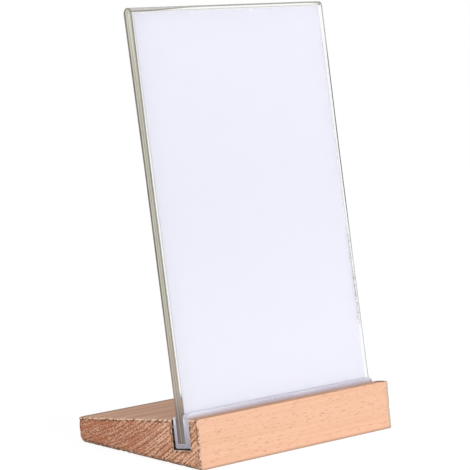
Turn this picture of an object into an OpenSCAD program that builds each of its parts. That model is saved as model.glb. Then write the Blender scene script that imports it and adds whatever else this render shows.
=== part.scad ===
// Acrylic sign holder. A clear sleeve, folded over at its top, holds a blank insert sheet.
// The fold is wider than its legs lie apart. Their open foot stands in a frosted U-channel,
// which lies in the slot of a wedge-shaped wooden block. The channel is tipped back as far
// as its slot allows, and the sleeve as far as the channel's groove allows.
// Millimetres. The origin is the middle of the block's footprint on the table.
// +Z is up, -Y is the front and +X is to the viewer's right.

/* [Wooden block] */
// Width of the block, side to side
block_w = 105.5; // [80:0.5:160]
// Length of the block's sloping top, front to rear
block_d = 62.2; // [45:0.1:72]
// Height of the block's front, measured along its leaning face
block_front_h = 18.5; // [15:0.5:26]
// Angle by which the top falls to the rear and the front face and the slot lean back
block_tilt = 8.5; // [2:0.5:12]
// Thickness of the lip of wood in front of the slot
lip_t = 4.9; // [3:0.1:9]
// Depth of the slot below the block's top
slot_depth = 11.3; // [7:0.1:13]
// Radius of the block's long edges, except the lower rear one
block_edge_r = 0.5; // [0.2:0.1:1.2]
// Radius of the block's lower rear edge
block_heel_r = 2.8; // [0.4:0.1:3]
// Radius of the edges around the block's two ends
block_end_r = 0.6; // [0.2:0.1:1.5]

/* [U-channel] */
// Length of the U-channel, side to side
channel_w = 101.9; // [60:0.1:120]
// Sideways place of the U-channel in the open slot, from the block's middle
channel_shift = -1.15; // [-3:0.05:3]
// Thickness of the channel's front wall
channel_front_t = 3; // [1.5:0.1:5]
// Thickness of the channel's rear wall
channel_rear_t = 1.5; // [1.2:0.1:4]
// Thickness of the channel's floor
channel_floor_t = 2.2; // [1.2:0.1:4]
// Height of the channel's front wall, which stands proud of the wood
channel_front_h = 12.8; // [8:0.1:18]
// Height of the channel's rear wall
channel_rear_h = 11.7; // [7:0.1:18]
// Radius of the channel's lower rear edge
channel_heel_r = 1.2; // [0.2:0.1:2]
// Radius of the channel's other long edges
channel_edge_r = 0.3; // [0.1:0.05:0.5]
// Angle by which the channel is tipped back in its slot
channel_rock = 1.8; // [0:0.1:6]

/* [Folded sleeve] */
// Width of the sleeve, side to side
sleeve_w = 103.6; // [60:0.1:150]
// Height of the sleeve from its open foot to the top of its fold
sleeve_h = 157; // [90:0.5:240]
// Thickness of the clear sheet that is folded
sheet_t = 1.5; // [0.8:0.05:2.5]
// Inside width of the fold
fold_gap = 1.15; // [0.4:0.05:3]
// Height of the flare in which the legs part, up to the middle of the fold
flare_h = 55; // [15:1:65]
// Angle by which the sleeve is tipped back in the channel's groove
sleeve_rock = 1.4; // [0:0.1:4]

/* [Insert sheet] */
// Width of the insert
insert_w = 100; // [50:0.5:150]
// Sideways place of the insert in the open sleeve, from its middle
insert_shift = 0.4; // [-1.5:0.1:1.5]
// Height of the insert
insert_h = 154.5; // [80:0.5:235]
// Height of the insert's lower edge above the sleeve's foot
insert_foot = 0.5; // [0.2:0.1:3]
// Thickness of the insert
insert_t = 0.2; // [0.1:0.05:0.5]

/* [Fits] */
// Gap at each place where the channel rests in the slot, and under the sleeve's foot
seat_gap = 0.05; // [0.02:0.01:0.2]
// Gap on each side of the sleeve in the channel's groove
groove_gap = 0.05; // [0.02:0.01:0.3]
// Gap on each side of the insert in the sleeve's pocket
pocket_gap = 0.05; // [0.02:0.01:0.3]

/* [Hidden] */

// How far every cut runs past the solid that it cuts
overrun = 5;
// Straight steps in each rounded long edge
edge_steps = 6;
// Facets of a full turn of the sleeve's fold
fold_fn = 48;

// The sleeve's pocket and its thickness follow what it holds
pocket_t = insert_t + 2 * pocket_gap;
sleeve_t = 2 * sheet_t + pocket_t;

// The fold goes round a wider gap, and the legs spread at this angle to reach it
fold_r = fold_gap / 2 + sheet_t;
fold_h = sleeve_h - fold_r;
flare_angle = asin(fold_r / norm([sleeve_t / 2, flare_h])) - atan2(sleeve_t / 2, flare_h);

// The channel's groove is as wide as the tipped sleeve needs: its foot touches the front
// wall, and its rear face leans on the top of the rear wall
groove_t = sleeve_t * cos(sleeve_rock) + 2 * groove_gap
    + (channel_rear_h - channel_floor_t - seat_gap) * tan(sleeve_rock);
channel_t = channel_front_t + groove_t + channel_rear_t;

// Where the tipped channel's lower front corner lies in the slot: its heel stands on the
// slot's floor and its lower front edge touches the slot's front wall
channel_rise = (channel_t - channel_heel_r) * sin(channel_rock)
    + channel_heel_r * (1 - cos(channel_rock)) + seat_gap;
channel_back = channel_edge_r * (1 - cos(channel_rock) - sin(channel_rock)) + seat_gap;

// The slot is as wide as the tipped channel needs where its rear face passes the mouth
mouth_reach = (slot_depth - channel_rise + channel_t * sin(channel_rock)) / cos(channel_rock);
slot_w = channel_back + channel_t * cos(channel_rock) + mouth_reach * sin(channel_rock) + seat_gap;

// Corners of the block's side view: y runs to the rear from its lower front edge, z up
function leaning_up(length, angle) = length * [sin(angle), cos(angle)];
function sloping_back(length, angle) = length * [cos(angle), -sin(angle)];
block_top_front = leaning_up(block_front_h, block_tilt);
block_top_rear = block_top_front + sloping_back(block_d, block_tilt);
block_rear_h = block_top_rear.y / cos(block_tilt);
block_low_rear = block_top_rear - leaning_up(block_rear_h, block_tilt);
block_reach = block_top_rear.x;

// A direction of length one
function unit(v) = v / norm(v);

// A flat vector turned by an angle
function turned(v, angle) = [
    v.x * cos(angle) - v.y * sin(angle),
    v.x * sin(angle) + v.y * cos(angle)
];

// The arc that rounds the corner p between its neighbours before and after it
function corner_arc(before, p, after, r) =
    let (
        u = unit(before - p),
        w = unit(after - p),
        half_angle = acos(u * w) / 2,
        centre = p + unit(u + w) * r / sin(half_angle),
        start = p + u * r / tan(half_angle) - centre,
        side = cross(p - before, after - p) > 0 ? 1 : -1,
        sweep = side * (180 - 2 * half_angle)
    )
    [for (k = [0 : edge_steps]) centre + turned(start, sweep * k / edge_steps)];

// An outline with each corner rounded by its own radius, or left sharp where that is zero
function rounded(corners, radii) =
    let (n = len(corners))
    [for (i = [0 : n - 1])
        each radii[i] == 0
            ? [corners[i]]
            : corner_arc(corners[(i + n - 1) % n], corners[i], corners[(i + 1) % n], radii[i])];

// A profile drawn with y to the rear and z up, drawn out along X about the middle
module bar(width) {
    rotate([90, 0, 90])
        linear_extrude(width, center = true)
            children();
}

// From the block's own corner at the lower front edge to the middle of its footprint
module place_block() {
    translate([0, -block_reach / 2, 0])
        children();
}

// Frame on the block's upper front edge: y along the sloping top, z square to it
module place_block_top() {
    place_block()
        translate([0, block_top_front.x, block_top_front.y])
            rotate([-block_tilt, 0, 0])
                children();
}

// Frame at the slot's lower front edge
module place_slot() {
    place_block_top()
        translate([0, lip_t, -slot_depth])
            children();
}

// Frame at the tipped channel's lower front corner: z runs up along its walls
module place_channel() {
    place_slot()
        translate([0, channel_back, channel_rise])
            rotate([-channel_rock, 0, 0])
                children();
}

// Frame at the lower front edge of the sleeve, which is tipped back in the channel's groove
// and stands on the lower rear edge of its foot
module place_sleeve() {
    foot_rise = sleeve_t * sin(sleeve_rock) + seat_gap;
    place_channel()
        translate([0, channel_front_t + groove_gap, channel_floor_t + foot_rise])
            rotate([-sleeve_rock, 0, 0])
                children();
}

// Side view of the block without its slot
module block_profile() {
    polygon(rounded(
        [[0, 0], block_low_rear, block_top_rear, block_top_front],
        [block_edge_r, block_heel_r, block_edge_r, block_edge_r]
    ));
}

// A rectangle as wide as the block, with only the named pair of corners rounded
module end_outline(low, high, low_r, high_r) {
    polygon(rounded(
        [[-block_w / 2, low], [block_w / 2, low], [block_w / 2, high], [-block_w / 2, high]],
        [low_r, low_r, high_r, high_r]
    ));
}

// Prism that rounds the ends' edges with the top
module top_end_rounding() {
    place_block_top()
        translate([0, block_d + overrun, 0])
            rotate([90, 0, 0])
                linear_extrude(block_d + 2 * overrun)
                    end_outline(-block_front_h - overrun, 0, 0, block_end_r);
}

// Prism that rounds the ends' edges with the front and rear faces
module face_end_rounding() {
    place_block_top()
        translate([0, 0, -block_front_h - block_d * tan(block_tilt)])
            linear_extrude(block_front_h + block_d * tan(block_tilt) + overrun)
                end_outline(0, block_d, block_end_r, block_end_r);
}

// Prism that rounds the ends' edges with the underside
module foot_end_rounding() {
    place_block()
        translate([0, block_reach + overrun, 0])
            rotate([90, 0, 0])
                linear_extrude(block_reach + 2 * overrun)
                    end_outline(0, block_front_h + overrun, block_end_r, 0);
}

module wooden_block() {
    color([0.90, 0.70, 0.55])
        difference() {
            intersection() {
                place_block() bar(block_w) block_profile();
                top_end_rounding();
                face_end_rounding();
                foot_end_rounding();
            }
            place_slot()
                bar(block_w + 2 * overrun)
                    square([slot_w, slot_depth + overrun]);
        }
}

// Side view of the channel: front wall, floor and rear wall about the groove
module channel_profile() {
    groove_front = channel_front_t;
    groove_rear = channel_front_t + groove_t;
    polygon(rounded(
        [
            [0, 0], [channel_t, 0],
            [channel_t, channel_rear_h], [groove_rear, channel_rear_h],
            [groove_rear, channel_floor_t], [groove_front, channel_floor_t],
            [groove_front, channel_front_h], [0, channel_front_h]
        ],
        [
            channel_edge_r, channel_heel_r, channel_edge_r, channel_edge_r,
            0, 0, channel_edge_r, channel_edge_r
        ]
    ));
}

module u_channel() {
    color([0.80, 0.80, 0.86])
        place_channel()
            translate([channel_shift, 0, 0])
                bar(channel_w)
                    channel_profile();
}

// A strip from a little below its foot up to the fold's middle, centred in the sleeve's
// thickness. Its sides flare out at the end to meet a round top of radius r.
module flared_strip(thickness, foot, r) {
    flare_rise = (r - thickness / 2 * cos(flare_angle)) / sin(flare_angle);
    touch = r * [cos(flare_angle), -sin(flare_angle)];
    side = [[thickness / 2, -foot], [thickness / 2, fold_h - flare_rise], [touch.x, fold_h + touch.y]];
    translate([sleeve_t / 2, 0])
        polygon([
            each side,
            for (k = [len(side) - 1 : -1 : 0]) [-side[k].x, side[k].y]
        ]);
    translate([sleeve_t / 2, fold_h])
        circle(r = r, $fn = fold_fn);
}

// Side view of the sleeve: two legs joined by the fold, open at the foot
module sleeve_profile() {
    difference() {
        flared_strip(sleeve_t, 0, fold_r);
        flared_strip(pocket_t, overrun, fold_gap / 2);
    }
}

module folded_sleeve() {
    color([0.86, 0.90, 0.92, 0.5])
        place_sleeve()
            bar(sleeve_w)
                sleeve_profile();
}

module insert_sheet() {
    color([0.94, 0.94, 0.98])
        place_sleeve()
            translate([insert_shift, sheet_t + pocket_gap, insert_foot])
                bar(insert_w)
                    square([insert_t, insert_h]);
}

wooden_block();
u_channel();
folded_sleeve();
insert_sheet();
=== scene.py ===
"""Looks of the acrylic sign holder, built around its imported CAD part."""
import math

import bmesh
import bpy
from mathutils import Matrix, Vector, noise


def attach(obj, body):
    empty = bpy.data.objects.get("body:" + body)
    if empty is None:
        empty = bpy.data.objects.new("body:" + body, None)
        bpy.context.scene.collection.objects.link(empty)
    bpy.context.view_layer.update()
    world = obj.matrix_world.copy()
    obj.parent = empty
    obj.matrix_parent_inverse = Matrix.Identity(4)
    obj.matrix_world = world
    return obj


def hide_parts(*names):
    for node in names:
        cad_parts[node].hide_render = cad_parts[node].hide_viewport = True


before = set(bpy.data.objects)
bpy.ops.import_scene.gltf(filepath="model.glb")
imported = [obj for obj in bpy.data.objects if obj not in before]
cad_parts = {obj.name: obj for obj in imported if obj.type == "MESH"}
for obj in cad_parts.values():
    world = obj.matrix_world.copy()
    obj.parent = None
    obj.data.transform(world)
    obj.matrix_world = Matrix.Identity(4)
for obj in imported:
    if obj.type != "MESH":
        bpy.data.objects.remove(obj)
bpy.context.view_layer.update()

MM = 0.001

# The part's driving sizes in millimetres and degrees, as in part.scad
BLOCK_W = 105.5
BLOCK_D = 62.2
BLOCK_FRONT_H = 18.5
BLOCK_TILT = 8.5
LIP_T = 4.9
SLOT_DEPTH = 11.3
BLOCK_EDGE_R = 0.5
BLOCK_HEEL_R = 2.8
CHANNEL_W = 101.9
CHANNEL_SHIFT = -1.15
CHANNEL_FRONT_T = 3.0
CHANNEL_REAR_T = 1.5
CHANNEL_FLOOR_T = 2.2
CHANNEL_FRONT_H = 12.8
CHANNEL_REAR_H = 11.7
CHANNEL_HEEL_R = 1.2
CHANNEL_EDGE_R = 0.3
CHANNEL_ROCK = 1.8
SLEEVE_W = 103.6
SLEEVE_H = 157
SHEET_T = 1.5
FOLD_GAP = 1.15
FLARE_H = 55
SLEEVE_ROCK = 1.4
INSERT_T = 0.2
SEAT_GAP = 0.05
GROOVE_GAP = 0.05
POCKET_GAP = 0.05

SLEEVE_T = 2 * SHEET_T + INSERT_T + 2 * POCKET_GAP
FOLD_R = FOLD_GAP / 2 + SHEET_T
FOLD_H = SLEEVE_H - FOLD_R

# Rounding of the ends in millimetres, which only the scene's own meshes have
BLOCK_END_R = 0.6
SLOT_END_R = 0.14
MOUTH_R = 0.25
CHANNEL_END_R = 0.15
CHANNEL_SEAT_END_R = 0.4
CHANNEL_LIP_END_R = 1.6
SLEEVE_CHAMFER = 0.2

# How far in from the left end the sleeve's pocket is as dull as its sawn faces
SAWN_REACH = 1.2

# Below this height the rear leg's right end would mirror the wood behind it
OPEN_END_Z = 50

# The sleeve's material slots after the clear one
SAWN_INDEX = 1
OPEN_END_INDEX = 2

# Keeps the rounded fold inside the CAD's box
FOLD_CLEARANCE = 0.01

# How finely the scene's own meshes are cut, and where their rings lie
ARC_STEPS = 6
FOLD_STEPS = 40
STRAIGHT_STEPS = 12
FLARE_STEPS = 6
SIDE_PITCH = 0.45
SMALLEST_ARC_R = 0.2
MIDDLE_SHARES = (0.1, 0.3, 0.5, 0.7, 0.9)
SLEEVE_SHARES = (-0.9, -0.5, 0, 0.5, 0.9)
BLOCK_RINGS_BEYOND = (0.3, 0.9, 2.0)
BLOCK_INSETS = (1.3, 0.7, 0.3)
CHANNEL_RINGS = (0.0, 0.02, 0.075, 0.15, 0.25, 0.4, 0.6, 0.9, 1.25, 1.6, 2.4)
CHANNEL_INSETS = (0.24, 0.1)

# Edges that bend by more than this stay sharp
BAR_SHARP_DEGREES = 50
SLEEVE_SHARP_DEGREES = 25

# Wear of the end edges: its even depth, the depth of its nicks, and how far in it reaches
BLOCK_WEAR = 0.1
BLOCK_CHIP = 0.5
CHANNEL_WEAR = 0.03
CHANNEL_CHIP = 0.12
WEAR_REACH = 2
WOBBLES_PER_MM = 0.9
NICKS_PER_MM = 0.55
NICK_THRESHOLD = 0.25
NICK_LAYER = 7.0
LEFT_END_SEED = 1.5
RIGHT_END_SEED = 4.5

# The rim value of every place far from both ends
PLAIN_RIM = -5.0

# The across value half-way through the acrylic, from zero outside to one in the pocket
MID_SHEET = 0.5


# Shapes: the side views that part.scad draws, in millimetres


class Lean:
    """A flat frame of the side view: back runs down a slope to the rear, up is square to it."""

    def __init__(self, origin, angle):
        turn = math.radians(angle)
        self.origin = Vector(origin)
        self.angle = angle
        self.back = Vector((math.cos(turn), -math.sin(turn)))
        self.up = Vector((math.sin(turn), math.cos(turn)))

    def at(self, back, up):
        return self.origin + back * self.back + up * self.up

    def moved(self, back, up, turn=0.0):
        return Lean(self.at(back, up), self.angle + turn)


def block_frames():
    """The table frame at the block's lower front edge, and the frame on its upper front edge."""
    tilted = Lean((0, 0), BLOCK_TILT)
    reach = tilted.at(BLOCK_D, BLOCK_FRONT_H).x
    table = Lean((-reach / 2, 0), 0)
    top_front = tilted.at(0, BLOCK_FRONT_H)
    return table, table.moved(top_front.x, top_front.y, BLOCK_TILT)


def groove_width():
    rock = math.radians(SLEEVE_ROCK)
    rear_wall = CHANNEL_REAR_H - CHANNEL_FLOOR_T - SEAT_GAP
    return SLEEVE_T * math.cos(rock) + 2 * GROOVE_GAP + rear_wall * math.tan(rock)


def channel_thickness():
    return CHANNEL_FRONT_T + groove_width() + CHANNEL_REAR_T


def tipped_place():
    """How far back and up the tipped channel's lower front corner lies in the slot."""
    rock = math.radians(CHANNEL_ROCK)
    rise = (channel_thickness() - CHANNEL_HEEL_R) * math.sin(rock)
    rise += CHANNEL_HEEL_R * (1 - math.cos(rock)) + SEAT_GAP
    back = CHANNEL_EDGE_R * (1 - math.cos(rock) - math.sin(rock)) + SEAT_GAP
    return back, rise


def slot_width():
    rock = math.radians(CHANNEL_ROCK)
    back, rise = tipped_place()
    thickness = channel_thickness()
    mouth_reach = (SLOT_DEPTH - rise + thickness * math.sin(rock)) / math.cos(rock)
    return back + thickness * math.cos(rock) + mouth_reach * math.sin(rock) + SEAT_GAP


def line_crossing(p, u, q, w):
    """Where the line through p along u meets the line through q along w."""
    across = u.x * w.y - u.y * w.x
    gap = q - p
    return p + u * ((gap.x * w.y - gap.y * w.x) / across)


class Outline:
    """A closed side view whose sides can each be drawn in, with the same points every time.

    The corners run so that the solid is on the left. A side's end radius is that of the
    rounding between the side and the bar's end face.
    """

    def __init__(self, corners, radii, end_radii):
        self.corners = corners
        self.radii = radii
        self.end_radii = end_radii
        lengths = [(b[0] - a[-1]).length for a, b in self._gaps(self._arcs(corners, radii))]
        self.splits = [max(1, round(length / SIDE_PITCH)) for length in lengths]

    def _gaps(self, arcs):
        return zip(arcs, arcs[1:] + arcs[:1])

    def _arcs(self, corners, radii):
        """The points of each corner's rounding."""
        count = len(corners)
        arcs = []
        for i in range(count):
            corner = corners[i]
            before = (corners[i - 1] - corner).normalized()
            after = (corners[(i + 1) % count] - corner).normalized()
            if radii[i] == 0:
                arcs.append([corner])
                continue
            half = before.angle(after) / 2
            centre = corner + (before + after).normalized() * radii[i] / math.sin(half)
            start = corner + before * radii[i] / math.tan(half) - centre
            turn = -1 if before.x * after.y - before.y * after.x > 0 else 1
            sweep = turn * (math.pi - 2 * half)
            steps = [Matrix.Rotation(sweep * k / ARC_STEPS, 2) for k in range(ARC_STEPS + 1)]
            arcs.append([centre + step @ start for step in steps])
        return arcs

    def drawn_in(self, depths):
        """The outline's points after each side has moved into the solid by its depth."""
        following = self.corners[1:] + self.corners[:1]
        runs = [(b - a).normalized() for a, b in zip(self.corners, following)]
        starts = [
            corner + Vector((-run.y, run.x)) * depth
            for corner, run, depth in zip(self.corners, runs, depths)
        ]
        moved = [
            line_crossing(starts[i - 1], runs[i - 1], starts[i], runs[i])
            for i in range(len(starts))
        ]
        radii = [
            max(r - min(depths[i - 1], depths[i]), min(r, SMALLEST_ARC_R))
            for i, r in enumerate(self.radii)
        ]
        points = []
        for (arc, next_arc), split in zip(self._gaps(self._arcs(moved, radii)), self.splits):
            points += arc
            points += [arc[-1].lerp(next_arc[0], k / split) for k in range(1, split)]
        return points

    def near_end(self, distance):
        """The outline at a distance from the bar's end."""
        depths = []
        for r in self.end_radii:
            short = max(r - distance, 0)
            depths.append(r - math.sqrt(r * r - short * short))
        return self.drawn_in(depths)

    def on_end(self, inset):
        """A ring on the end face, this far inside the end's rounding."""
        return self.drawn_in([r + inset for r in self.end_radii])


def arc_lengths(points):
    """How far along the closed outline each point lies."""
    lengths = [0.0]
    for a, b in zip(points, points[1:]):
        lengths.append(lengths[-1] + (b - a).length)
    return lengths


def inward(points):
    """The direction into the solid at each point of a closed outline."""
    directions = []
    for i in range(len(points)):
        run = points[(i + 1) % len(points)] - points[i - 1]
        directions.append(Vector((-run.y, run.x)).normalized())
    return directions


def rough_depth(along, seed, wear, chip):
    """Depth of wear on an edge: an even wobble, and a few deeper nicks."""
    wobble = 0.5 + 0.5 * noise.noise(Vector((along * WOBBLES_PER_MM, seed, 0.0)))
    nick = noise.noise(Vector((along * NICKS_PER_MM, seed, NICK_LAYER))) - NICK_THRESHOLD
    return wear * wobble + chip * max(0.0, nick)


def worn_ring(points, along, seed, fade, wear, chip):
    """The ring's points, pushed in by the edge's wear where it fades in."""
    if fade == 0:
        return points
    pushes = inward(points)
    return [
        p + push * fade * rough_depth(s, seed, wear, chip)
        for p, push, s in zip(points, pushes, along)
    ]


def arc_distances(r, beyond):
    """Distances from a bar's end to rings at even steps round a rounding, and then beyond it."""
    turns = [math.pi / 2 * k / ARC_STEPS for k in range(ARC_STEPS + 1)]
    return [r * (1 - math.cos(turn)) for turn in turns] + [r + extra for extra in beyond]


def bar_rings(outline, x_low, x_high, distances, insets, wear, chip):
    """The rings of a bar along X, from its low end face to its high one.

    Each comes with its rim value: on the end face the distance inside the end's rounding, and
    on the rounding and the sides the distance from the end, negative.
    """
    widest = max(outline.end_radii)
    along = arc_lengths(outline.near_end(widest))

    def end_rings(x_end, inward_x, seed):
        rings = []
        for inset in insets:
            ring = worn_ring(outline.on_end(inset), along, seed, 1, wear, chip)
            rings.append((x_end, ring, inset))
        for distance in distances:
            fade = max(0.0, 1 - max(0.0, distance - widest) / WEAR_REACH)
            ring = worn_ring(outline.near_end(distance), along, seed, fade, wear, chip)
            rings.append((x_end + inward_x * distance, ring, -distance))
        return rings

    plain = outline.near_end(widest)
    rings = end_rings(x_low, 1, LEFT_END_SEED)
    rings += [(x_low + (x_high - x_low) * share, plain, PLAIN_RIM) for share in MIDDLE_SHARES]
    rings += reversed(end_rings(x_high, -1, RIGHT_END_SEED))
    return rings


# Meshes


def new_object(name, mesh_data, sharp_degrees):
    """An object from a bmesh, smooth but for the edges that bend more than an angle."""
    mesh_data.normal_update()
    limit = math.radians(sharp_degrees)
    for face in mesh_data.faces:
        face.smooth = True
    for edge in mesh_data.edges:
        if len(edge.link_faces) == 2:
            edge.smooth = edge.calc_face_angle() < limit
    mesh = bpy.data.meshes.new(name)
    mesh_data.to_mesh(mesh)
    mesh_data.free()
    made = bpy.data.objects.new(name, mesh)
    bpy.context.scene.collection.objects.link(made)
    return made


def add_ring(mesh_data, x, ring):
    """The ring's vertices, from millimetres in the side view to metres."""
    return [mesh_data.verts.new((x * MM, p.x * MM, p.y * MM)) for p in ring]


def join_rings(mesh_data, a, b):
    """The faces between two closed rings, the first on the lower X side."""
    count = len(a)
    for i in range(count):
        j = (i + 1) % count
        mesh_data.faces.new((a[i], a[j], b[j], b[i]))


def bar_object(name, rings):
    """A bar lofted through its rings, with each vertex's rim value stored on it."""
    mesh_data = bmesh.new()
    rim = mesh_data.verts.layers.float.new("rim")
    made = []
    for x, ring, rim_value in rings:
        verts = add_ring(mesh_data, x, ring)
        for vert in verts:
            vert[rim] = rim_value
        made.append(verts)
    for a, b in zip(made, made[1:]):
        join_rings(mesh_data, a, b)
    caps = [mesh_data.faces.new(made[0][::-1]), mesh_data.faces.new(made[-1])]
    mesh_data.normal_update()
    bmesh.ops.triangulate(mesh_data, faces=caps, ngon_method="EAR_CLIP")
    return new_object(name, mesh_data, BAR_SHARP_DEGREES)


def block_outline():
    table, top = block_frames()
    rear_top = top.at(BLOCK_D, 0)
    lean = Lean((0, 0), BLOCK_TILT)
    rear_low = rear_top - lean.up * (rear_top.y / lean.up.y)
    width = slot_width()
    corners = [
        table.at(0, 0),
        rear_low,
        rear_top,
        top.at(LIP_T + width, 0),
        top.at(LIP_T + width, -SLOT_DEPTH),
        top.at(LIP_T, -SLOT_DEPTH),
        top.at(LIP_T, 0),
        top.at(0, 0),
    ]
    radii = [BLOCK_EDGE_R, BLOCK_HEEL_R, BLOCK_EDGE_R, MOUTH_R, 0, 0, MOUTH_R, BLOCK_EDGE_R]
    end_radii = [BLOCK_END_R] * 3 + [SLOT_END_R] * 3 + [BLOCK_END_R] * 2
    return Outline(corners, radii, end_radii)


def build_block():
    rings = bar_rings(
        block_outline(),
        -BLOCK_W / 2,
        BLOCK_W / 2,
        distances=arc_distances(BLOCK_END_R, BLOCK_RINGS_BEYOND),
        insets=BLOCK_INSETS,
        wear=BLOCK_WEAR,
        chip=BLOCK_CHIP,
    )
    block = bar_object("beech_block", rings)
    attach(block, "block")
    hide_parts("wooden_block")
    return block


def channel_frame():
    """The frame at the tipped channel's lower front corner."""
    _, top = block_frames()
    back, rise = tipped_place()
    slot = top.moved(LIP_T, -SLOT_DEPTH)
    return slot.moved(back, rise, CHANNEL_ROCK)


def channel_outline():
    place = channel_frame()
    thickness = channel_thickness()
    groove_front = CHANNEL_FRONT_T
    groove_rear = thickness - CHANNEL_REAR_T
    corners = [
        place.at(0, 0),
        place.at(thickness, 0),
        place.at(thickness, CHANNEL_REAR_H),
        place.at(groove_rear, CHANNEL_REAR_H),
        place.at(groove_rear, CHANNEL_FLOOR_T),
        place.at(groove_front, CHANNEL_FLOOR_T),
        place.at(groove_front, CHANNEL_FRONT_H),
        place.at(0, CHANNEL_FRONT_H),
    ]
    edge = CHANNEL_EDGE_R
    radii = [edge, CHANNEL_HEEL_R, edge, edge, 0, 0, edge, edge]
    seat, plain = CHANNEL_SEAT_END_R, CHANNEL_END_R
    end_radii = [seat, seat, plain, plain, plain, plain, CHANNEL_LIP_END_R, seat]
    return Outline(corners, radii, end_radii)


def build_channel():
    rings = bar_rings(
        channel_outline(),
        CHANNEL_SHIFT - CHANNEL_W / 2,
        CHANNEL_SHIFT + CHANNEL_W / 2,
        distances=CHANNEL_RINGS,
        insets=CHANNEL_INSETS,
        wear=CHANNEL_WEAR,
        chip=CHANNEL_CHIP,
    )
    channel = bar_object("frosted_channel", rings)
    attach(channel, "channel")
    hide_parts("u_channel")
    return channel


def fold_path(half_gap, radius, inset):
    """One face of the folded sheet, from the front foot over the fold to the rear foot.

    It is centred on the sleeve's mid plane. An inset draws it into the sheet.
    """
    half_t = SLEEVE_T / 2
    flare = math.asin(FOLD_R / math.hypot(half_t, FLARE_H)) - math.atan2(half_t, FLARE_H)
    rise = (radius - half_gap * math.cos(flare)) / math.sin(flare)
    straight_h = FOLD_H - rise
    half_gap += inset
    radius += inset
    heights = [straight_h * k / STRAIGHT_STEPS for k in range(STRAIGHT_STEPS + 1)]
    front = [Vector((-half_gap, h)) for h in heights]
    touch = Vector((-radius * math.cos(flare), FOLD_H - radius * math.sin(flare)))
    front += [front[-1].lerp(touch, k / FLARE_STEPS) for k in range(1, FLARE_STEPS)]
    arc = []
    for k in range(FOLD_STEPS + 1):
        turn = math.pi + flare - (math.pi + 2 * flare) * k / FOLD_STEPS
        arc.append(Vector((radius * math.cos(turn), FOLD_H + radius * math.sin(turn))))
    rear = [Vector((-p.x, p.y)) for p in reversed(front)]
    return front + arc + rear


def fold_top_along():
    """How far along the sleeve's outer face the top of the fold lies."""
    return arc_lengths(fold_path(SLEEVE_T / 2, FOLD_R, 0))[-1] / 2


def sleeve_frame():
    """The frame at the foot of the tipped sleeve's mid plane."""
    rise = SLEEVE_T * math.sin(math.radians(SLEEVE_ROCK)) + SEAT_GAP
    front_edge = channel_frame().moved(
        CHANNEL_FRONT_T + GROOVE_GAP, CHANNEL_FLOOR_T + rise, SLEEVE_ROCK
    )
    return front_edge.moved(SLEEVE_T / 2, 0)


def sleeve_ring(mesh_data, place, x, chamfer):
    """The outer and the inner row of vertices at one place along the sleeve."""
    across = mesh_data.verts.layers.float["across"]
    along = mesh_data.verts.layers.float["along"]
    outer = fold_path(SLEEVE_T / 2, FOLD_R, -chamfer - FOLD_CLEARANCE)
    inner = fold_path(SLEEVE_T / 2 - SHEET_T, FOLD_GAP / 2, chamfer)
    lengths = arc_lengths(outer)
    rows = []
    for path, depth in ((outer, 0.0), (inner, 1.0)):
        verts = add_ring(mesh_data, x, [place.at(p.x, p.y) for p in path])
        for vert, length in zip(verts, lengths):
            vert[across] = depth
            vert[along] = length
        rows.append(verts)
    return rows


def build_sleeve():
    """The folded sheet, lofted along X, with its sawn faces on a slot of their own."""
    place = sleeve_frame()
    mesh_data = bmesh.new()
    mesh_data.verts.layers.float.new("across")
    mesh_data.verts.layers.float.new("along")
    half_w = SLEEVE_W / 2
    chamfer = SLEEVE_CHAMFER
    stations = [(-half_w, chamfer), (-half_w + chamfer, 0), (-half_w + SAWN_REACH, 0)]
    stations += [(half_w * share, 0) for share in SLEEVE_SHARES]
    stations += [(half_w - chamfer, 0), (half_w, chamfer)]
    rings = [sleeve_ring(mesh_data, place, x, drawn_in) for x, drawn_in in stations]
    for (outer_a, inner_a), (outer_b, inner_b) in zip(rings, rings[1:]):
        join_rings(mesh_data, outer_a + inner_a[::-1], outer_b + inner_b[::-1])
    for outer, inner in (rings[0], rings[-1]):
        for i in range(len(outer) - 1):
            mesh_data.faces.new((outer[i], outer[i + 1], inner[i + 1], inner[i]))
    bmesh.ops.recalc_face_normals(mesh_data, faces=mesh_data.faces)
    mark_sawn_faces(mesh_data)
    sleeve = new_object("clear_sleeve", mesh_data, SLEEVE_SHARP_DEGREES)
    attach(sleeve, "sleeve")
    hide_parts("folded_sleeve")
    return sleeve


def mark_sawn_faces(mesh_data):
    """Gives the second material slot to the sawn faces, and the third to the open end.

    The sawn ones are the feet, the left end with its chamfers, the pocket close to it, and the
    front leg's right end. The open one is the rear leg's right end, low down. The rest of that
    end is polished, and so doesn't show through the sheet.
    """
    across = mesh_data.verts.layers.float["across"]
    along = mesh_data.verts.layers.float["along"]
    half_w = SLEEVE_W / 2
    for face in mesh_data.faces:
        depths = [vert[across] for vert in face.verts]
        x = face.calc_center_median().x / MM
        is_end = abs(x) > half_w - SLEEVE_CHAMFER / 4
        is_foot = max(depths) - min(depths) > MID_SHEET and not is_end
        left_chamfer = x < -half_w + SLEEVE_CHAMFER
        dull_pocket = min(depths) > MID_SHEET and x < -half_w + SAWN_REACH
        in_front = max(vert[along] for vert in face.verts) < fold_top_along()
        right_front = x > half_w - SLEEVE_CHAMFER and min(depths) < MID_SHEET and in_front
        low = face.calc_center_median().z / MM < OPEN_END_Z
        if is_foot or left_chamfer or dull_pocket or right_front:
            face.material_index = SAWN_INDEX
        elif is_end and x > 0 and low:
            face.material_index = OPEN_END_INDEX


# Materials


def linear(red, green, blue):
    """A colour written as 0 to 255 sRGB, for a shader's socket."""

    def channel(value):
        share = value / 255
        return share / 12.92 if share <= 0.04045 else ((share + 0.055) / 1.055) ** 2.4

    return (channel(red), channel(green), channel(blue), 1.0)


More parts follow.
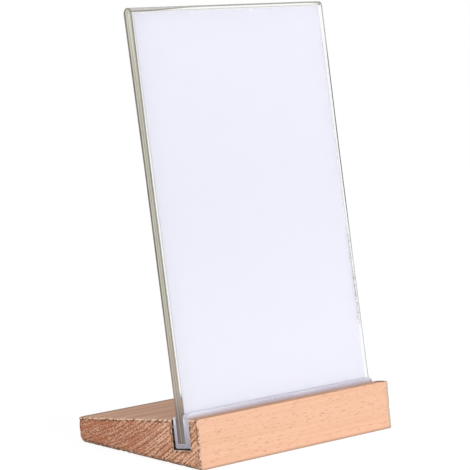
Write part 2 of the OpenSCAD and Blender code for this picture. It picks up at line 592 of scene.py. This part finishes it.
class Signal:
    """A number on its way through a material's nodes, with Python's own arithmetic."""

    def __init__(self, shade, socket):
        self.shade = shade
        self.socket = socket

    def __add__(self, other):
        return self.shade.math("ADD", self, other)

    def __sub__(self, other):
        return self.shade.math("SUBTRACT", self, other)

    def __rsub__(self, other):
        return self.shade.math("SUBTRACT", other, self)

    def __mul__(self, other):
        return self.shade.math("MULTIPLY", self, other)

    __radd__ = __add__


class Shading:
    """Builds the nodes of one material or world. Most methods add a node and return a Signal."""

    def __init__(self, tree):
        self.tree = tree
        tree.nodes.clear()

    def node(self, kind, inputs, **settings):
        made = self.tree.nodes.new(kind)
        for name, value in settings.items():
            setattr(made, name, value)
        for name, value in inputs.items():
            self.feed(made.inputs[name], value)
        return made

    def feed(self, socket, value):
        if isinstance(value, Signal):
            self.tree.links.new(value.socket, socket)
        else:
            socket.default_value = value

    def math(self, operation, a, b=0.0, clamp=False):
        made = self.node("ShaderNodeMath", {0: a, 1: b}, operation=operation, use_clamp=clamp)
        return Signal(self, made.outputs[0])

    def place(self):
        """The point's X, Y and Z in millimetres, in the part's own frame."""
        coords = self.node("ShaderNodeTexCoord", {})
        split = self.node("ShaderNodeSeparateXYZ", {0: Signal(self, coords.outputs["Object"])})
        return [Signal(self, out) * (1 / MM) for out in split.outputs]

    def in_lean(self, lean, y, z):
        """How far back and up the point lies in a leaning frame."""
        dy = y - lean.origin.x
        dz = z - lean.origin.y
        return dy * lean.back.x + dz * lean.back.y, dy * lean.up.x + dz * lean.up.y

    def attribute(self, name):
        made = self.node("ShaderNodeAttribute", {}, attribute_name=name)
        return Signal(self, made.outputs["Fac"])

    def path(self, name):
        return Signal(self, self.node("ShaderNodeLightPath", {}).outputs[name])

    def vector(self, x, y, z):
        made = self.node("ShaderNodeCombineXYZ", {"X": x, "Y": y, "Z": z})
        return Signal(self, made.outputs[0])

    def noise(self, where, detail=1.0, rough=0.5):
        """Noise about 0.5, with features about one unit of the given coordinates in size."""
        inputs = {"Vector": where, "Scale": 1.0, "Detail": detail, "Roughness": rough}
        return Signal(self, self.node("ShaderNodeTexNoise", inputs).outputs[0])

    def smooth(self, value, low, high):
        """Zero below low, one above high, and smooth between them."""
        made = self.node(
            "ShaderNodeMapRange",
            {"Value": value, "From Min": low, "From Max": high},
            interpolation_type="SMOOTHSTEP",
        )
        return Signal(self, made.outputs[0])

    def band(self, value, centre, half_width):
        """One at the centre, falling smoothly to zero at half a width to each side."""
        away = self.math("ABSOLUTE", value - centre)
        return 1 - self.smooth(away, 0.0, half_width)

    def mix(self, share, a, b):
        """The colour a, turning into b as the share goes from zero to one."""
        made = self.node(
            "ShaderNodeMix", {"Factor": share}, data_type="RGBA", clamp_factor=True
        )
        self.feed(made.inputs[6], a)
        self.feed(made.inputs[7], b)
        return Signal(self, made.outputs[2])

    def bump(self, height, distance_mm):
        made = self.node(
            "ShaderNodeBump", {"Height": height, "Distance": distance_mm * MM, "Strength": 1.0}
        )
        return Signal(self, made.outputs[0])

    def shader(self, kind, inputs):
        return Signal(self, self.node(kind, inputs).outputs[0])

    def mix_shader(self, share, a, b):
        made = self.node("ShaderNodeMixShader", {0: share, 1: a, 2: b})
        return Signal(self, made.outputs[0])

    def output(self, surface, kind="ShaderNodeOutputMaterial"):
        self.node(kind, {"Surface": surface})

    def principled(self, inputs):
        """Makes the whole material one Principled surface."""
        self.output(self.shader("ShaderNodeBsdfPrincipled", inputs))


def new_material(name):
    material = bpy.data.materials.new(name)
    material.use_nodes = True
    return material, Shading(material.node_tree)


# Beech, as the front face and the sawn end show it
FACE_LIGHT = linear(243, 195, 164)
FACE_DARK = linear(236, 184, 152)
FACE_FLECK = linear(213, 155, 126)
FACE_STREAK = linear(205, 142, 108)
# Dark for the top's rear edge, and painted shade on the lip's top face
TOP_LINE = linear(108, 80, 60)
# Painted shade for the slot's walls and floor
SLOT_SHADE = linear(38, 24, 18)
END_LIGHT = linear(252, 200, 166)
END_DARK = linear(136, 80, 50)
END_RED = linear(190, 112, 76)
END_SPECK = linear(255, 236, 220)
RIM_CREAM = linear(255, 231, 206)
# Painted shade for the right end's rounding
RIM_SHADE = linear(196, 180, 164)
RIM_SPOT = linear(112, 72, 50)
# Painted shade for the line along the foot
FOOT_SHADE = linear(112, 92, 78)

# The growth rings' axis runs along X through this point of the side view
RING_CENTRE_Y = 66
RING_CENTRE_Z = 108
RING_PITCH = 1.5

# The way along every ring is measured on this one
RING_ROUND_R = 100

# The end grain turns redder and coarser between these places, from front to rear
REARWARD_Y = (-20.0, 26.0)

# How far past the slot's walls the painted shade in the slot reaches, and where it has faded out
SLOT_SHADE_SPREAD = (0.6, 0.7)


def ring_place(shade, y, z):
    """The distance from the growth rings' axis, a little wavy, and the way along a ring."""
    dy = y - RING_CENTRE_Y
    dz = z - RING_CENTRE_Z
    distance = shade.math("SQRT", dy * dy + dz * dz)
    around = shade.math("ARCTAN2", dy, dz * -1) * RING_ROUND_R
    wave = shade.noise(shade.vector(around * 0.06, distance * 0.05, 0.0), detail=2.0)
    return distance + (wave - 0.5) * 3.0, around


def end_grain(shade, y, z, distance, around):
    """Colour of the sawn ends: narrow dark growth rings, finer lines, pores and pale specks."""
    drift = shade.noise(shade.vector(distance * 0.35, around * 0.02, 3.0)) - 0.5
    phase = shade.math("FRACT", distance * (1 / RING_PITCH) + drift * 2.0)
    broken = shade.noise(shade.vector(distance * 0.9, around * 0.16, 5.0), detail=2.0)
    line = shade.band(phase, 0.62, 0.3) * shade.smooth(broken, 0.25, 0.52)
    fine = shade.noise(shade.vector(distance * 3.0, around * 0.5, 1.0), detail=3.0, rough=0.7)
    pores = shade.noise(shade.vector(y * 1.3, z * 1.6, 2.0), detail=2.0, rough=0.75)
    patch = shade.noise(shade.vector(distance * 0.4, around * 0.08, 9.0), detail=2.0)
    rearward = shade.smooth(y, *REARWARD_Y)
    line = line * (1 - rearward * 0.25)
    tone = line * 0.95 + (fine - 0.5) * 1.9 + (patch - 0.5) * 0.8
    tone = tone + (pores - 0.5) * (4.0 + rearward * 2.0)
    base = shade.mix(tone + rearward * 0.36 + 0.18, END_LIGHT, END_DARK)
    red = shade.smooth(patch + fine * 0.4, 0.62, 0.85) * 0.4 + rearward * 0.35
    speck = shade.noise(shade.vector(y * 1.6, z * 2.0, 6.0), detail=2.0)
    pale = shade.smooth(speck + (pores - 0.5) * 0.4 + rearward * 0.03, 0.64, 0.7) * 0.9
    return shade.mix(pale, shade.mix(red, base, END_RED), END_SPECK)


def face_grain(shade, x, y, z, distance, up):
    """Colour of the planed faces: faint bands and streaks along X, and short darker flecks."""
    band_lines = shade.noise(shade.vector(x * 0.01, distance * 1.1, 0.0), detail=3.0, rough=0.6)
    base = shade.mix(shade.smooth(band_lines, 0.3, 0.75), FACE_LIGHT, FACE_DARK)
    fleck = shade.noise(shade.vector(x * 0.34, y * 2.6, z * 2.6), detail=1.0)
    dense = shade.noise(shade.vector(x * 0.05, y * 0.25, z * 0.25)) * 0.12
    base = shade.mix(shade.smooth(fleck + dense, 0.66, 0.78) * 0.8, base, FACE_FLECK)
    streak = shade.noise(shade.vector(x * 0.012, y * 0.3, 4.0), detail=3.0, rough=0.6)
    on_top = shade.smooth(up, -0.4, -0.1)
    return shade.mix(shade.smooth(streak, 0.42, 0.66) * on_top * 0.5, base, FACE_STREAK)


def slot_shade(shade, back, up):
    """One on the slot's walls and floor, which painted shade darkens."""
    spread, faded = SLOT_SHADE_SPREAD
    far_wall = LIP_T + slot_width()
    between = shade.smooth(back, LIP_T - faded, LIP_T - spread)
    between = between * (1 - shade.smooth(back, far_wall + spread, far_wall + faded))
    return between * (1 - shade.smooth(up, -0.6, -0.2))


def right_half(shade, x):
    """Zero on the left half and one on the right, which is only read near the ends."""
    return shade.smooth(x, -10.0, 10.0)


def sawn_end(shade, rim):
    """One on the block's end faces."""
    return shade.smooth(rim, -0.25, -0.05)


def beech_sides(shade, where, lean_where, rim, distance):
    """Colour of all but the sawn ends, with dark lines along the top, painted shade on the lip's
    top, and painted shade in the slot.
    """
    x, y, z = where
    back, up = lean_where
    colour = face_grain(shade, x, y, z, distance, up)
    # Darker towards the top's rear edge, and painted shade on the lip's top face, more at the
    # right end
    rear_edge = shade.smooth(back, BLOCK_D - 4, BLOCK_D - 1) * 0.7
    lip = shade.smooth(up, -0.4, -0.1) * (1 - shade.smooth(back, LIP_T, LIP_T + 1))
    lip_shade = lip * (0.4 + shade.smooth(x, 47.5, 49.5) * 0.55)
    colour = shade.mix(shade.math("MAXIMUM", rear_edge, lip_shade), colour, TOP_LINE)
    # Painted shade in the slot, broken up by paler patches
    patchiness = shade.noise(shade.vector(x * 0.3, y * 0.9, z * 0.9), detail=2.0)
    gap_noise = shade.noise(shade.vector(x * 0.5, y * 0.5, z * 0.5), detail=2.0)
    shade_gaps = shade.smooth(gap_noise, 0.52, 0.58) * shade.smooth(rim, -1.5, -0.8) * 0.6
    slot_darkness = slot_shade(shade, back, up) * (0.8 + shade.smooth(patchiness, 0.35, 0.6) * 0.2 - shade_gaps)
    return shade.mix(slot_darkness, colour, SLOT_SHADE)


def edge_wear_and_shade(shade, colour, where, back, rim, ragged):
    """The colour with dark spots and a pale rim around the ends, painted shade on the right end's
    rounding, and a painted shade line along the foot.
    """
    x, y, z = where
    right_end = right_half(shade, x)
    dots = shade.noise(shade.vector(x * 0.7, y * 0.8, z * 0.8), detail=2.0)
    spots = shade.band(rim, 0.3, 0.75) * (1 - shade.smooth(dots, 0.46, 0.53))
    colour = shade.mix(spots * 0.9, colour, RIM_SPOT)
    # Painted shade along the foot, where the block meets the floor
    foot = 1 - shade.smooth(z, 0.4, 1.2)
    dotted = 0.05 + shade.smooth(dots, 0.43, 0.53) * 0.95
    sides = (1 - foot) * (1 - shade.smooth(back, BLOCK_D - 1, BLOCK_D - 0.5))
    left_rim = shade.band(rim + (ragged - 0.5) * 0.3, -0.03, 0.14) * dotted * sides
    colour = shade.mix(left_rim * (1 - right_end), colour, RIM_CREAM)
    # Painted shade on the right end's rounding
    right_rim_shade = 1 - shade.smooth(rim * -1 + (ragged - 0.5) * 0.6, 1.3, 1.9)
    right_rim_shade = right_rim_shade * (1 - shade.smooth(rim + (ragged - 0.5) * 0.6, 0.1, 0.6))
    colour = shade.mix(right_rim_shade * right_end * 0.8, colour, RIM_SHADE)
    return shade.mix(foot * (0.4 + sawn_end(shade, rim) * 0.3), colour, FOOT_SHADE)


def beech_material():
    """Sanded beech with sawn end grain, painted shade in the slot, pale worn edges around the
    ends, and painted shade on the right end's rounding and along the foot.
    """
    material, shade = new_material("beech")
    x, y, z = where = shade.place()
    distance, around = ring_place(shade, y, z)
    back, up = shade.in_lean(block_frames()[1], y, z)
    rim = shade.attribute("rim")
    end_face = sawn_end(shade, rim)
    sides = beech_sides(shade, where, (back, up), rim, distance)
    colour = shade.mix(end_face, sides, end_grain(shade, y, z, distance, around))
    ragged = shade.noise(shade.vector(x * 1.2, y * 1.2, z * 1.2), detail=3.0, rough=0.6)
    colour = edge_wear_and_shade(shade, colour, where, back, rim, ragged)
    pores = shade.noise(shade.vector(x * 2.5, y * 4.0, z * 4.0), detail=2.0)
    shade.principled(
        {
            "Base Color": colour,
            "Roughness": 0.55 + pores * 0.25,
            "Normal": shade.bump(pores + (ragged - 0.5) * end_face, 0.06),
            "Specular IOR Level": 0.3,
        }
    )
    return material


PLASTIC_IOR = 1.49

CHANNEL_PALE = linear(220, 220, 236)
CHANNEL_DEEP = linear(178, 172, 188)
# Painted shade low on the channel's ends, down in the slot
CHANNEL_LOW_SHADE = linear(150, 140, 150)
CHANNEL_LIT = linear(255, 255, 255)
# Painted light for the sides towards the left end
CHANNEL_LEFT_LIGHT = linear(240, 243, 255)
# Painted contact shade for the seat's rounding at the ends
CHANNEL_UNDER_SHADE = linear(60, 52, 50)
# Painted shade with the wood's warm light, for the sides below their top edge
CHANNEL_WOOD_SHADE = linear(176, 160, 160)


def groove_glow(shade, back, up):
    """One where light gathers in the walls' upper corners beside the groove."""
    front = shade.band(back, CHANNEL_FRONT_T - 0.3, 1.1)
    rear = shade.band(back, channel_thickness() - CHANNEL_REAR_T + 0.5, 0.7)
    front = front * shade.smooth(up, CHANNEL_FRONT_H - 5.5, CHANNEL_FRONT_H - 2.5)
    rear = rear * shade.smooth(up, CHANNEL_REAR_H - 3.5, CHANNEL_REAR_H - 1.5)
    return shade.math("MAXIMUM", front, rear)


def frosted_colour(shade, x, y, z, speckle):
    """Lilac-grey with a speckle, which is coarse on the sawn ends, with painted shade low on the
    ends and dark underneath, painted shade and the wood's warm light on the sides, and painted
    light towards the left.
    """
    back, up = shade.in_lean(channel_frame(), y, z)
    rim = shade.attribute("rim")
    sawn = shade.smooth(rim, -0.1, 0.1)
    cloud = shade.noise(shade.vector(x * 0.08, y * 0.4, z * 0.4), detail=2.0)
    share = (speckle - 0.5) * (1.6 + sawn * 3.4) + (cloud - 0.5) * 0.8 + 0.35
    colour = shade.mix(share, CHANNEL_PALE, CHANNEL_DEEP)
    # Painted shade low on the sawn ends
    low = sawn * (1 - shade.smooth(up, 1.0, 8.0)) * 0.6
    colour = shade.mix(low, colour, CHANNEL_LOW_SHADE)
    colour = shade.mix(sawn * groove_glow(shade, back, up) * 0.9, colour, CHANNEL_LIT)
    # Painted light: the sides paler towards the left end
    painted_light_left = (1 - sawn) * (1 - shade.smooth(x, -52, -8))
    colour = shade.mix(painted_light_left * 0.5, colour, CHANNEL_LEFT_LIGHT)
    # Painted shade and warm light from the wood on the sides below their top edge
    wood_shade = (1 - sawn) * (1 - shade.smooth(up, CHANNEL_FRONT_H - 1.9, CHANNEL_FRONT_H - 0.4))
    colour = shade.mix(wood_shade * 0.65, colour, CHANNEL_WOOD_SHADE)
    # Painted contact shade on the seat's rounding near the ends
    under_shade = (1 - shade.smooth(up, 0.25, 0.65)) * shade.smooth(rim, -0.6, -0.4)
    return shade.mix(under_shade * 0.9, colour, CHANNEL_UNDER_SHADE)


def frosted_material():
    """Frosted plastic with a fine speckle, which lets a little light in."""
    material, shade = new_material("frosted_plastic")
    x, y, z = shade.place()
    speckle = shade.noise(shade.vector(x * 2.0, y * 2.6, z * 2.6), detail=2.0, rough=0.7)
    shade.principled(
        {
            "Base Color": frosted_colour(shade, x, y, z, speckle),
            "Roughness": 0.42 + speckle * 0.2,
            "Normal": shade.bump(speckle, 0.03),
            "Subsurface Weight": 0.25,
            "Subsurface Radius": (1.0, 0.95, 1.0),
            "Subsurface Scale": 1.5 * MM,
            "IOR": PLASTIC_IOR,
        }
    )
    return material


# So close to air that the open end mirrors nothing of the wood behind the panel
OPEN_END_IOR = 1.01
ACRYLIC_CLEAR = (0.985, 0.992, 0.99, 1.0)
ACRYLIC_SHADE = (0.94, 0.95, 0.95, 1.0)
# Painted dark for the fold's reflection and the margin's shade
ACRYLIC_PAINTED_DARK = linear(76, 66, 46)
ACRYLIC_MARK = linear(70, 69, 76)

# The painted shade line at the left margin's foot, standing for the shaded wood behind it: where
# it fades out, from the left end and upwards
MARGIN_LINE_X = (0.9, 1.4)
MARGIN_LINE_Z = (25.4, 26.2)

# The row of marks: how far from the right end, its half width, and its lower and upper fade
MARKS_FROM_END = 1.6
MARKS_HALF_WIDTH = 1.2
MARKS_LOW_Z = (36.0, 42.0)
MARKS_HIGH_Z = (66.0, 80.0)


def on_outer_face(shade):
    """One on the sleeve's outer face, zero in its pocket."""
    return 1 - shade.smooth(shade.attribute("across"), 0.3, 0.7)


def on_front(shade):
    """One on the front leg's outer face."""
    along = shade.attribute("along")
    return on_outer_face(shade) * (1 - shade.smooth(along, fold_top_along() - 1, fold_top_along()))


def fold_reflection(shade, x):
    """How dark the fold's front looks as a painted reflection of darker surroundings: two lines
    and a paler band, narrower to the right.
    """
    down = shade.attribute("along") * -1 + fold_top_along()
    from_left = x + SLEEVE_W / 2
    reach = 1.9 + (1 - shade.smooth(from_left, 5.0, 38.0)) * 1.1
    reach = reach + shade.smooth(x, 44.0, 51.0) * 0.6
    inside = shade.smooth(down, 0.2, 0.7) * (1 - shade.smooth(down - reach, -0.2, 0.15))
    upper = shade.band(down, 0.9, 0.6)
    lower = shade.band(down - reach, -0.35, 0.4)
    return (inside * 0.74 + upper * 0.2 + lower * 0.26) * on_outer_face(shade)


def margin_shade(shade, x, z):
    """One where painted shade makes the clear margin beside the strip show the wood as a dark
    line, low down.
    """
    beside = 1 - shade.smooth(x + SLEEVE_W / 2, *MARGIN_LINE_X)
    low = 1 - shade.smooth(z, *MARGIN_LINE_Z)
    return on_front(shade) * beside * low


def edge_marks(shade, x, z):
    """One on the small dark marks beside the right edge, in the middle of its height."""
    row = shade.band(x, SLEEVE_W / 2 - MARKS_FROM_END, MARKS_HALF_WIDTH)
    row = row * shade.smooth(z, *MARKS_LOW_Z) * (1 - shade.smooth(z, *MARKS_HIGH_Z))
    tick = shade.noise(shade.vector(x * 0.8, 0.0, z * 2.4), detail=1.0)
    return on_front(shade) * row * shade.smooth(tick, 0.47, 0.55)


def clear_material(name, ior):
    """Polished clear acrylic. Lamps reach what is behind it as through thin glass."""
    material, shade = new_material(name)
    x, y, z = shade.place()
    smudge = shade.noise(shade.vector(x * 0.03, y * 0.03, z * 0.05), detail=3.0)
    fine = shade.noise(shade.vector(x * 0.5, y * 0.5, z * 0.5), detail=2.0)
    # Painted reflection at the fold and painted shade in the margin darken the glass
    dark = fold_reflection(shade, x) + margin_shade(shade, x, z) * 0.5
    tint = shade.mix(dark, ACRYLIC_CLEAR, ACRYLIC_PAINTED_DARK)
    glass = shade.shader(
        "ShaderNodeBsdfPrincipled",
        {
            "Base Color": shade.mix(edge_marks(shade, x, z), tint, ACRYLIC_MARK),
            "Roughness": shade.smooth(smudge + fine * 0.1, 0.4, 0.9) * 0.03 + 0.005,
            "Transmission Weight": 1.0,
            "IOR": ior,
        },
    )
    open_to_lamps = shade.shader("ShaderNodeBsdfTransparent", {"Color": ACRYLIC_SHADE})
    shade.output(shade.mix_shader(shade.path("Is Shadow Ray"), glass, open_to_lamps))
    return material


SAWN_PALE = linear(214, 211, 193)
# The next two are the painted dark line of shade and reflection, on the rear leg and on the front
# leg
SAWN_DARK = linear(112, 102, 90)
SAWN_GREY = linear(134, 133, 129)
# Painted warm light from the wood, and painted shade in the groove
SAWN_WOOD_LIGHT = linear(192, 170, 154)
SAWN_GROOVE_SHADE = linear(118, 106, 100)
SAWN_LIT = linear(252, 252, 255)
# Painted reflection for the front leg's right end, higher up
SAWN_EDGE_REFLECTION = linear(52, 52, 54)

# Heights over which the sawn faces lose the painted warm light from the wood and the painted shade
# of the groove
SAWN_WARM_Z = (24.0, 60.0)
SAWN_SHADED_Z = (15.0, 28.0)

# Heights over which the front leg's right end turns dark with a painted reflection, and then paler
# again
END_DARK_Z = (62.0, 90.0)
END_PALE_Z = (138.0, 148.0)


def sawn_colour(shade, y, z, across, grit):
    """Cloudy grey with a painted dark line of shade and reflection near each leg's outer face,
    painted warm light from the wood low down, painted shade in the groove, and a pocket painted
    lighter.
    """
    reach = across + (grit - 0.5) * 0.1
    rear_leg = shade.smooth(shade.attribute("along"), fold_top_along() - 1, fold_top_along() + 3)
    # Painted shade and reflection: a dark line near each leg's outer face, darker on the rear leg
    line = 1 - shade.smooth(reach - rear_leg * 0.45, 0.15, 0.45)
    drift = shade.noise(shade.vector(0.0, y * 0.2, z * 0.05), detail=2.0)
    share = line * 0.9 + (grit - 0.5) * 0.5 + (drift - 0.5) * 0.6
    colour = shade.mix(share, SAWN_PALE, shade.mix(rear_leg, SAWN_GREY, SAWN_DARK))
    # Painted warm light from the wood behind, low down
    low = 1 - shade.smooth(z, *SAWN_WARM_Z)
    colour = shade.mix(low * 0.6, colour, SAWN_WOOD_LIGHT)
    # Painted shade in the groove
    groove_shade = 1 - shade.smooth(z, *SAWN_SHADED_Z)
    colour = shade.mix(groove_shade * 0.8, colour, SAWN_GROOVE_SHADE)
    # The pocket painted lighter against its shade
    pocket = shade.smooth(across, 0.93, 0.98)
    return shade.mix(pocket * 0.22, colour, SAWN_LIT)


def right_end_colour(shade, colour, x, z, across):
    """The colour, but on the right end painted white light low down and a painted dark reflection
    higher up.
    """
    right_end = right_half(shade, x)
    # Painted light makes the right end white low down, and a painted reflection dark higher up
    faint = (1 - shade.smooth(across, 0.1, 0.3)) * shade.smooth(z, 20.0, 90.0)
    colour = shade.mix(right_end * (1 - faint), colour, SAWN_LIT)
    high = shade.smooth(z, *END_DARK_Z) * (1 - shade.smooth(z, *END_PALE_Z) * 0.6)
    return shade.mix(right_end * high * 0.93, colour, SAWN_EDGE_REFLECTION)


def sawn_material():
    """The acrylic's sawn faces and the front leg's right end."""
    material, shade = new_material("sawn_acrylic")
    x, y, z = shade.place()
    across = shade.attribute("across")
    grit = shade.noise(shade.vector(x * 1.5, y * 1.5, z * 0.8), detail=3.0, rough=0.6)
    colour = sawn_colour(shade, y, z, across, grit)
    shade.principled(
        {
            "Base Color": right_end_colour(shade, colour, x, z, across),
            "Roughness": 0.4 + grit * 0.3,
            "Normal": shade.bump(grit, 0.03),
            "IOR": PLASTIC_IOR,
        }
    )
    return material


PAPER_WHITE = linear(223, 221, 233)
PAPER_FIBRE = linear(220, 218, 231)
PAPER_LOW = linear(230, 228, 240)
PAPER_LOW_Z = (0.0, 105.0)


def paper_material():
    """Smooth blank card with a faint fibre, brighter low down, where less light falls on it."""
    material, shade = new_material("blank_card")
    x, y, z = shade.place()
    fibre = shade.noise(shade.vector(x * 0.8, y * 2.0, z * 1.6), detail=4.0, rough=0.6)
    low = 1 - shade.smooth(z, *PAPER_LOW_Z)
    shade.principled(
        {
            "Base Color": shade.mix(low, shade.mix(fibre, PAPER_WHITE, PAPER_FIBRE), PAPER_LOW),
            "Roughness": 0.6 + fibre * 0.2,
            "Normal": shade.bump(fibre, 0.01),
            "Specular IOR Level": 0.2,
        }
    )
    return material


# Camera, stage and light, in metres and degrees

CAMERA_PLACE = (-0.69084, -0.63929, 0.212652)
CAMERA_YAW = -47.06
CAMERA_PITCH = 8.249
CAMERA_ROLL = 1.238
CAMERA_LENS_MM = 194.62
SENSOR_MM = 36
CAMERA_REACH = 20


def add_camera():
    """The photograph's own view: turned to the right of +Y, looking a little down."""
    yaw = math.radians(-CAMERA_YAW)
    pitch = math.radians(CAMERA_PITCH)
    roll = math.radians(CAMERA_ROLL)
    ahead = Vector(
        (math.sin(yaw) * math.cos(pitch), math.cos(yaw) * math.cos(pitch), -math.sin(pitch))
    )
    level = Vector((math.cos(yaw), -math.sin(yaw), 0))
    upright = level.cross(ahead)
    right = math.cos(roll) * level + math.sin(roll) * upright
    up = math.cos(roll) * upright - math.sin(roll) * level
    turn = Matrix((right, up, -ahead)).transposed().to_4x4()
    data = bpy.data.cameras.new("camera")
    data.sensor_width = SENSOR_MM
    data.sensor_fit = "HORIZONTAL"
    data.lens = CAMERA_LENS_MM
    data.clip_end = CAMERA_REACH
    camera = bpy.data.objects.new("camera", data)
    camera.matrix_world = Matrix.Translation(CAMERA_PLACE) @ turn
    bpy.context.scene.collection.objects.link(camera)
    bpy.context.scene.camera = camera


AMBIENT = 0.55
FLOOR_HALF = 4.0
FLOOR_DROP = 0.0002
FLOOR_WHITE = 0.8
FLOOR_GLOW = 0.91
FLOOR_SHADE = 0.16

# Each lamp's name, place, aim, size and watts
LAMPS = (
    ("key", (0.42, -1.0, 0.75), (0, 0, 0.06), 0.9, 9.0),
    ("fill", (-1.3, -0.35, 0.3), (0, 0, 0.03), 0.6, 4.0),
)


def sees_backdrop(shade):
    """One where the camera, a reflection or clear plastic looks straight at the backdrop."""
    looks = shade.path("Is Camera Ray") + shade.path("Is Glossy Ray")
    looks = looks + shade.path("Is Transmission Ray")
    first = shade.math("LESS_THAN", shade.path("Diffuse Depth"), 0.5)
    return shade.math("MULTIPLY", looks, first, clamp=True)


def light_world():
    """An even grey surrounding light, which looks white itself."""
    world = bpy.data.worlds.new("studio")
    world.use_nodes = True
    bpy.context.scene.world = world
    shade = Shading(world.node_tree)
    grey = (AMBIENT,) * 3 + (1.0,)
    colour = shade.mix(sees_backdrop(shade), grey, (1.0, 1.0, 1.0, 1.0))
    surface = shade.shader("ShaderNodeBackground", {"Color": colour, "Strength": 1.0})
    shade.output(surface, "ShaderNodeOutputWorld")


def add_floor():
    """A pale floor that looks white but for the object's faint shadow. It is open from below."""
    mesh_data = bmesh.new()
    bmesh.ops.create_grid(mesh_data, x_segments=2, y_segments=2, size=FLOOR_HALF)
    floor = new_object("floor", mesh_data, BAR_SHARP_DEGREES)
    floor.location.z = -FLOOR_DROP
    material, shade = new_material("pale_floor")
    plain = shade.shader("ShaderNodeBsdfDiffuse", {"Color": (FLOOR_WHITE,) * 3 + (1.0,)})
    glow = shade.shader("ShaderNodeEmission", {"Strength": FLOOR_GLOW})
    faint = shade.shader("ShaderNodeBsdfDiffuse", {"Color": (FLOOR_SHADE,) * 3 + (1.0,)})
    shown = shade.shader("ShaderNodeAddShader", {0: glow, 1: faint})
    top = shade.mix_shader(sees_backdrop(shade), plain, shown)
    below = Signal(shade, shade.node("ShaderNodeNewGeometry", {}).outputs["Backfacing"])
    clear = shade.shader("ShaderNodeBsdfTransparent", {})
    shade.output(shade.mix_shader(below, top, clear))
    floor.data.materials.append(material)


def add_softbox(name, place, aim, size, watts):
    """A square area lamp that clear plastic doesn't show."""
    data = bpy.data.lights.new(name, "AREA")
    data.size = size
    data.energy = watts
    lamp = bpy.data.objects.new(name, data)
    lamp.location = place
    lamp.rotation_euler = (Vector(aim) - Vector(place)).to_track_quat("-Z", "Y").to_euler()
    lamp.visible_transmission = False
    bpy.context.scene.collection.objects.link(lamp)


# The scene


def main():
    bpy.context.scene.view_settings.view_transform = "Standard"
    add_camera()
    light_world()
    add_floor()
    for lamp in LAMPS:
        add_softbox(*lamp)

    build_block().data.materials.append(beech_material())
    build_channel().data.materials.append(frosted_material())
    sleeve = build_sleeve()
    sleeve.data.materials.append(clear_material("clear_acrylic", PLASTIC_IOR))
    sleeve.data.materials.append(sawn_material())
    sleeve.data.materials.append(clear_material("open_end", OPEN_END_IOR))
    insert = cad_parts["insert_sheet"]
    insert.data.materials.clear()
    insert.data.materials.append(paper_material())


main()
